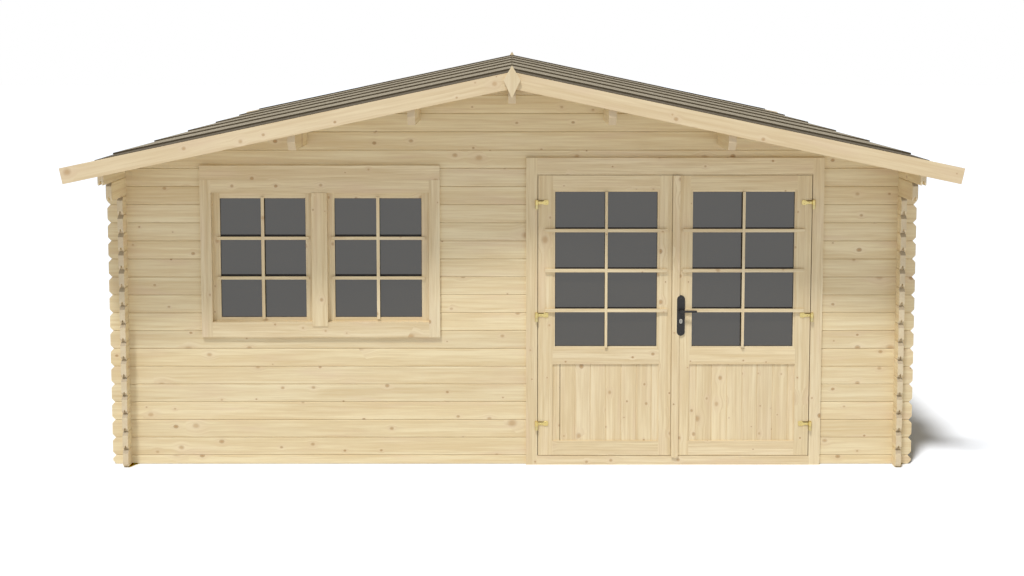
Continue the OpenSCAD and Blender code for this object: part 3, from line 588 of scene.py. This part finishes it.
def turnedRings(centre, path, around=28, axis=2):
    # a turned form: path lists radius and height, each step a circle round the axis through centre
    radius, height = np.array(path).T[..., None]
    angle = np.linspace(0, 2 * math.pi, around, endpoint=False)
    u, v = crossAxes[axis]
    rings = np.empty((len(path), around, 3))
    rings[..., axis] = centre[axis] + height
    rings[..., u] = centre[u] + radius * np.cos(angle)
    rings[..., v] = centre[v] + radius * np.sin(angle)
    return rings


# pale seals, set back in the gaps round the leaves
seals = {"setBack": 0.006, "deep": 0.006, "spare": 0.0008, "edge": 0.0006, "foot": 0.057,
         "headLap": 0.012, "lap": 0.001, "meeting": (1.0001, 1.0031), "meetingBack": 0.001}


def makeSeals():
    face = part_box("door_threshold")[0].y
    near, far = face + seals["setBack"], face + seals["setBack"] + seals["deep"]
    left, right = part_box("door_post_left")[1].x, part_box("door_post_right")[0].x
    leafLow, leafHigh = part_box("left_door_stiles")
    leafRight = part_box("right_door_stiles")[1].x
    foot, top = seals["foot"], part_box("door_head")[0].z + seals["headLap"]
    spare, edge, lap = seals["spare"], seals["edge"], seals["lap"]
    fixed = [barRings((left - lap, near, foot), (leafLow.x - spare, far, top), 2, edge),
             barRings((leafRight + spare, near, foot), (right + lap, far, top), 2, edge),
             barRings((left, near, leafHigh.z + spare), (right, far, top + lap), 0, edge),
             barRings((left, near, foot - lap), (right, far, leafLow.z - spare), 0, edge)]
    upright = woodFinish("seal_spruce", boardAxes("z", 900), planed)
    addPiece("door_frame_seals", fixed, "house", upright)
    low, high = seals["meeting"]
    near, far = face + seals["meetingBack"], face + seals["meetingBack"] + seals["deep"]
    meeting = barRings((low, near, leafLow.z), (high, far, leafHigh.z), 2, edge)
    addPiece("meeting_seal", [meeting], "right_door", upright)


makeSeals()
print("seals done")

# dark pieces on the panes: a line of painted shade above every level bar, and a thin dark gasket
# round each light
gasketAndShade = {"below": 0.004, "above": {"left_door": 0.0064, "right_door": 0.0064, "house": 0.0115},
          "barTops": {"left_door": (0.999, 1.251, 1.503), "right_door": (0.999, 1.251, 1.503),
                      "house": (1.1968, 1.4482)},
          "proud": 0.0016, "lap": 0.0005, "rim": 0.0026, "edge": 0.0004,
          "colour": fromScreen(27, 20, 12)}


def gasketAndShadeParts(low, high, face, body):
    # low and high are corners of the light in x and z
    (left, foot), (right, top) = low, high
    near, far = face - gasketAndShade["proud"], face + gasketAndShade["lap"]
    below, above = gasketAndShade["below"], gasketAndShade["above"][body]
    edge, rim = gasketAndShade["edge"], gasketAndShade["rim"]
    # the lines above the level bars are painted shade
    level = [barRings((left, near, z - below), (right, far, z + above), 0, edge)
             for z in gasketAndShade["barTops"][body]]
    sides = [barRings((x, near, foot), (x + rim, far, top), 2, edge) for x in (left, right - rim)]
    ends = [barRings((left + rim, near, z), (right - rim, far, z + rim), 0, edge)
            for z in (foot, top - rim)]
    return level + sides + ends


def makeGasketsAndShadeLines():
    material, shader, place, facing = newMaterial("dark_gasket_and_painted_shade")
    plug(shader, {"Base Color": gasketAndShade["colour"], "Roughness": 0.55 + 0.2 * place.noise(300, 2)})
    bead = joinery["bead"]
    for side in ("left", "right"):
        low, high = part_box(side + "_door_glass")
        parts = gasketAndShadeParts((low.x + bead, low.z + bead), (high.x - bead, high.z - bead), low.y,
                            side + "_door")
        addPiece(side + "_door_gaskets_and_shade_lines", parts, side + "_door", material)
    low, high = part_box("window_glass")
    sash = joinery["sashInner"]
    parts = []
    for left, right in ((low.x, mullionLow - sash), (mullionHigh + sash, high.x)):
        parts += gasketAndShadeParts((left, low.z), (right, high.z), low.y, "house")
    addPiece("window_gaskets_and_shade_lines", parts, "house", material)


makeGasketsAndShadeLines()
print("gaskets done")

# the tongues of the logs, cut back from the free ends, so that each joint ends in a pointed hole
tongue = {"foot": 0.0205, "tip": 0.0046, "height": 0.0255, "lap": 0.0005, "back": 0.024,
          "end": 2.525, "wall": 2.4405, "middle": 2.423, "sideFirst": 0.114, "frontFirst": 0.171,
          "sideCount": 15, "frontCount": 15}


def tonguePart(along, other, axis, z):
    # a trapezium, narrow above, swept from the cut end to the wall
    foot, tip = tongue["foot"] / 2, tongue["tip"] / 2
    lap, height = tongue["lap"], tongue["height"]
    rings = np.empty((2, 4, 3))
    rings[..., axis] = np.array(along)[:, None]
    rings[..., 1 - axis] = other + np.array([-foot, foot, tip, -tip])
    rings[..., 2] = z + np.array([-lap, -lap, height, height])
    return rings


def makeTongues():
    cutEnd, wall = tongue["end"] - tongue["back"], tongue["wall"]
    front, side = [], []
    for endSide in (-1, 1):
        along = (endSide * cutEnd, endSide * wall)
        for wallSide in (-1, 1):
            middle = wallSide * tongue["middle"]
            side += [tonguePart(along, middle, 1, tongue["sideFirst"] + k * logs["height"])
                     for k in range(tongue["sideCount"])]
            front += [tonguePart(along, middle, 0, tongue["frontFirst"] + k * logs["height"])
                      for k in range(tongue["frontCount"])]
    addPiece("side_log_tongues", side, "house", sideLogs)
    addPiece("front_log_tongues", front, "house", frontLogs)


makeTongues()
print("tongues done")

# hinges: a strap with a narrow neck and a wide rounded end, a capped knuckle, screws, a rolled lip;
# the lip and the screw slots are dark brass as painted shade
hinge = {"pinLeft": 0.154, "pinRight": 1.877, "pinY": -2.4683, "tops": (0.282, 0.975, 1.685),
         "strapStart": 0.0085, "strapLength": 0.074, "strapBack": -2.4583, "strapThick": 0.0042,
         "neck": 0.0085, "wide": 0.0158, "widens": (0.038, 0.050), "tip": 0.008, "tipShare": 0.35,
         "neckDown": 0.0182, "wideUp": 0.0022,
         "knuckle": 0.010, "knuckleHeight": 0.032, "bore": 0.0052,
         "screws": ((0.028, -0.018), (0.056, -0.0085), (0.060, -0.0245)), "screwSunk": 0.0002,
         "screwHead": ((0.0040, 0.0), (0.0040, -0.0007), (0.0031, -0.0015), (0.0016, -0.0019),
                       (0.0001, -0.0020)),
         "slotHalf": (0.0030, 0.0005), "slotY": (-0.0021, -0.0012), "slotEdge": 0.0001,
         "lipEnd": 0.047, "lipY": (-2.4630, -2.4584), "lipDown": (0.0078, 0.0022),
         "lipEdge": 0.0014}
# dark brass for the lip and the screw slots: painted shade
shadeBrass = {"colour": fromScreen(128, 108, 60), "stain": fromScreen(92, 76, 40), "metal": 0.7,
             "roughness": 0.5}


def smoothStep(low, high, value):
    # 0 below low, 1 above high, a cubic between
    part = np.clip((value - low) / (high - low), 0, 1)
    return part * part * (3 - 2 * part)


def strapRings(way, pin, top):
    # along the strap the half height goes from the neck to the wide end and closes in a round tip;
    # every ring is a squarish oval
    reach = hinge["strapLength"]
    along = np.concatenate([np.linspace(hinge["strapStart"], 0.052, 24),
                            np.linspace(0.054, reach, 16)])
    widening = smoothStep(*hinge["widens"], along)
    half = hinge["neck"] + (hinge["wide"] - hinge["neck"]) * widening
    tip = np.clip((along - (reach - hinge["tip"])) / hinge["tip"], 0, 0.999)
    half = half * (hinge["tipShare"] + (1 - hinge["tipShare"]) * np.sqrt(1 - tip ** 2))
    middle = top - hinge["neckDown"] + hinge["wideUp"] * widening
    angle = np.linspace(0, 2 * math.pi, 24, endpoint=False)
    thick = hinge["strapThick"] / 2
    across = np.sign(np.cos(angle)) * np.abs(np.cos(angle)) ** 0.6 * thick
    up = np.sign(np.sin(angle)) * np.abs(np.sin(angle)) ** 0.35
    rings = np.empty((len(along), len(angle), 3))
    rings[..., 0] = (pin + way * along)[:, None]
    rings[..., 1] = hinge["strapBack"] - thick + across
    rings[..., 2] = middle[:, None] + half[:, None] * up
    return rings


def knucklePath():
    # radius and height from the middle of the cap, down the outside with one groove, into the bore
    radius, bore, tall = hinge["knuckle"], hinge["bore"], hinge["knuckleHeight"]
    cap = [(0.0001, 0.0016), (0.0045, 0.0013), (0.0078, 0.0002), (radius, -0.0016),
           (radius, -0.0050)]
    groove = [(radius - 0.0006, -0.0055), (radius - 0.0006, -0.0062), (radius, -0.0067)]
    foot = [(radius, 0.0008 - tall), (radius - 0.0008, 0.0001 - tall), (bore, 0.0001 - tall)]
    return cap + groove + foot + [(bore, -0.0030), (0.0001, -0.0030)]


def makeHinges():
    brass = bpy.data.materials["hinge_brass"]
    dark = metalFinish("brass_painted_shade", shadeBrass)
    front = hinge["strapBack"] - hinge["strapThick"] + hinge["screwSunk"]
    halfX, halfZ = hinge["slotHalf"]
    slotNear, slotFar = [front + depth for depth in hinge["slotY"]]
    lipNear, lipFar = hinge["lipY"]
    lipLow, lipHigh = hinge["lipDown"]
    for side, way, pin in (("left", 1, hinge["pinLeft"]), ("right", -1, hinge["pinRight"])):
        bright, shadeParts = [], []
        lipLeft, lipRight = sorted((pin + way * hinge["strapStart"], pin + way * hinge["lipEnd"]))
        for top in hinge["tops"]:
            bright.append(strapRings(way, pin, top))
            bright.append(turnedRings((pin, hinge["pinY"], top), knucklePath()))
            for along, down in hinge["screws"]:
                x, z = pin + way * along, top + down
                bright.append(turnedRings((x, front, z), hinge["screwHead"], 20, 1))
                shadeParts.append(barRings((x - halfX, slotNear, z - halfZ),
                                     (x + halfX, slotFar, z + halfZ), 0, hinge["slotEdge"]))
            shadeParts.append(barRings((lipLeft, lipNear, top - lipLow),
                                 (lipRight, lipFar, top - lipHigh), 0, hinge["lipEdge"]))
        piece = addPiece(side + "_hinge_straps", bright, side + "_door", brass, 40)
        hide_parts(side + "_door_hinges")
        addPiece(side + "_hinge_shade_lips", shadeParts, side + "_door", dark, 40)


makeHinges()
print("hinges done")

# small fittings of the lock: two screws in each plate, and the keyhole as a dark inset piece,
# painted shade of the hole
lockFittings = {"x": 1.057, "screws": (1.0655, 0.8475), "sunk": 0.0002,
                "screwHead": ((0.0042, 0.0), (0.0042, 0.0005), (0.0033, 0.0012), (0.0017, 0.0016),
                              (0.0001, 0.0017)),
                "keyhole": 0.921, "roundUp": 0.004, "roundRadius": 0.0024, "slotDown": 0.009,
                "slotHalf": 0.0011, "slotEdge": 0.0001, "holeIn": 0.0006, "holeOut": 0.0004}


def makeLockFittings():
    x, keyhole, half = lockFittings["x"], lockFittings["keyhole"], lockFittings["slotHalf"]
    roundZ, slotZ = keyhole + lockFittings["roundUp"], keyhole - lockFittings["slotDown"]
    low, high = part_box("handle_plates")
    lockLow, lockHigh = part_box("lock_faces")
    screws, holes = [], []
    for face, out in ((low.y, -1), (high.y, 1)):
        head = [(radius, out * (height - lockFittings["sunk"]))
                for radius, height in lockFittings["screwHead"]]
        screws += [turnedRings((x, face, z), head, 20, 1) for z in lockFittings["screws"]]
    # the keyholes: dark pieces as painted shade of the holes
    for face, out in ((lockLow.y, -1), (lockHigh.y, 1)):
        near, far = sorted((face - out * lockFittings["holeIn"],
                            face + out * lockFittings["holeOut"]))
        drum = [(lockFittings["roundRadius"], y - face) for y in (near, far)]
        holes.append(turnedRings((x, face, roundZ), drum, 18, 1))
        holes.append(barRings((x - half, near, slotZ), (x + half, far, roundZ), 2,
                              lockFittings["slotEdge"]))
    charcoal, darkGasketAndShade = bpy.data.materials["charcoal_metal"], bpy.data.materials["dark_gasket_and_painted_shade"]
    addPiece("plate_screws", screws, "right_door", charcoal, 40)
    addPiece("keyholes", holes, "right_door", darkGasketAndShade, 40)


makeLockFittings()
print("lock fittings done")

# white studio: the sun stands high in front, to the left
studio = {"sunWay": (0.215, 0.4275, -0.885), "sunStrength": 2.26, "sunSize": 7.5,
          "skyStrength": 0.52, "floorHalf": 60.0, "floorShade": (0.80, 0.80, 0.80, 1.0),
          "floorSeen": (1.30, 1.324, 1.367, 1.0), "floorLift": -0.43,
          "liftColour": (1.0, 0.96, 0.90, 1.0),
          "flagX": (-2.70, -2.44), "flagY": (-2.92, -2.40), "flagZ": (1.84, 1.90)}


def seenRay(tree):
    # 1 where the camera, a mirror or a pane looks at the surface, so that only the picture is white
    path = Sock(tree.nodes.new("ShaderNodeLightPath").outputs["Is Camera Ray"])
    mirrored = path.math("MAXIMUM", path.out("Is Glossy Ray"), path.out("Is Transmission Ray"))
    return path.math("MAXIMUM", path, mirrored)


def stageSheet(name, corners):
    mesh = bpy.data.meshes.new(name)
    mesh.from_pydata(corners, [], [(0, 1, 2, 3)])
    sheet = bpy.data.objects.new(name, mesh)
    bpy.context.scene.collection.objects.link(sheet)
    sheet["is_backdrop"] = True
    return sheet


def makeStudio():
    sun = bpy.data.lights.new("sun", "SUN")
    sun.energy, sun.angle = studio["sunStrength"], math.radians(studio["sunSize"])
    lamp = bpy.data.objects.new("sun", sun)
    lamp.rotation_mode = "QUATERNION"
    lamp.rotation_quaternion = Vector(studio["sunWay"]).to_track_quat("-Z", "Y")
    bpy.context.scene.collection.objects.link(lamp)

    world = bpy.data.worlds.new("white_studio")
    bpy.context.scene.world = world
    world.use_nodes = True
    sky = world.node_tree.nodes["Background"]
    seen = seenRay(world.node_tree)
    sky.inputs["Color"].default_value = (1.0, 1.0, 1.0, 1.0)
    strength = studio["skyStrength"] + (1 - studio["skyStrength"]) * seen
    world.node_tree.links.new(strength.socket, sky.inputs["Strength"])

    # a flag beyond the left eave keeps the sun off the upper log ends; no camera or mirror sees it
    (left, right), (near, far), (low, high) = studio["flagX"], studio["flagY"], studio["flagZ"]
    flag = stageSheet("studio_flag", [(left, near, low), (right, near, high),
                                      (right, far, high), (left, far, low)])
    flag.visible_camera = flag.visible_glossy = False
    flag.visible_diffuse = flag.visible_transmission = False

    # as seen, the floor is a bright white with an even part taken off, which deepens the shadow
    half = studio["floorHalf"]
    floor = stageSheet("studio_floor", [(-half, -half, 0), (half, -half, 0),
                                        (half, half, 0), (-half, half, 0)])
    material, shader, place, facing = newMaterial("studio_floor")
    seen = seenRay(material.node_tree)
    plug(shader, {"Base Color": seen.mix(studio["floorShade"], studio["floorSeen"]),
                  "Roughness": 1.0, "Specular IOR Level": 0.0,
                  "Emission Color": studio["liftColour"],
                  "Emission Strength": seen * studio["floorLift"]})
    floor.data.materials.append(material)


makeStudio()

# part shift, part tilt: upright lines stay nearly upright
view = {"place": (0.0, -11.169, 2.726), "tilt": 4.781, "lens": 49.535, "sensor": 36.0,
        "shiftY": -0.135, "farClip": 200.0}


def makeCamera():
    data = bpy.data.cameras.new("camera")
    data.lens, data.sensor_width, data.shift_y = view["lens"], view["sensor"], view["shiftY"]
    data.clip_end = view["farClip"]
    camera = bpy.data.objects.new("camera", data)
    camera.location = view["place"]
    camera.rotation_euler = (math.radians(90 - view["tilt"]), 0.0, 0.0)
    bpy.context.scene.collection.objects.link(camera)
    bpy.context.scene.camera = camera


makeCamera()
bpy.context.scene.view_settings.view_transform = "Standard"
print("studio and camera done")

low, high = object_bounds()
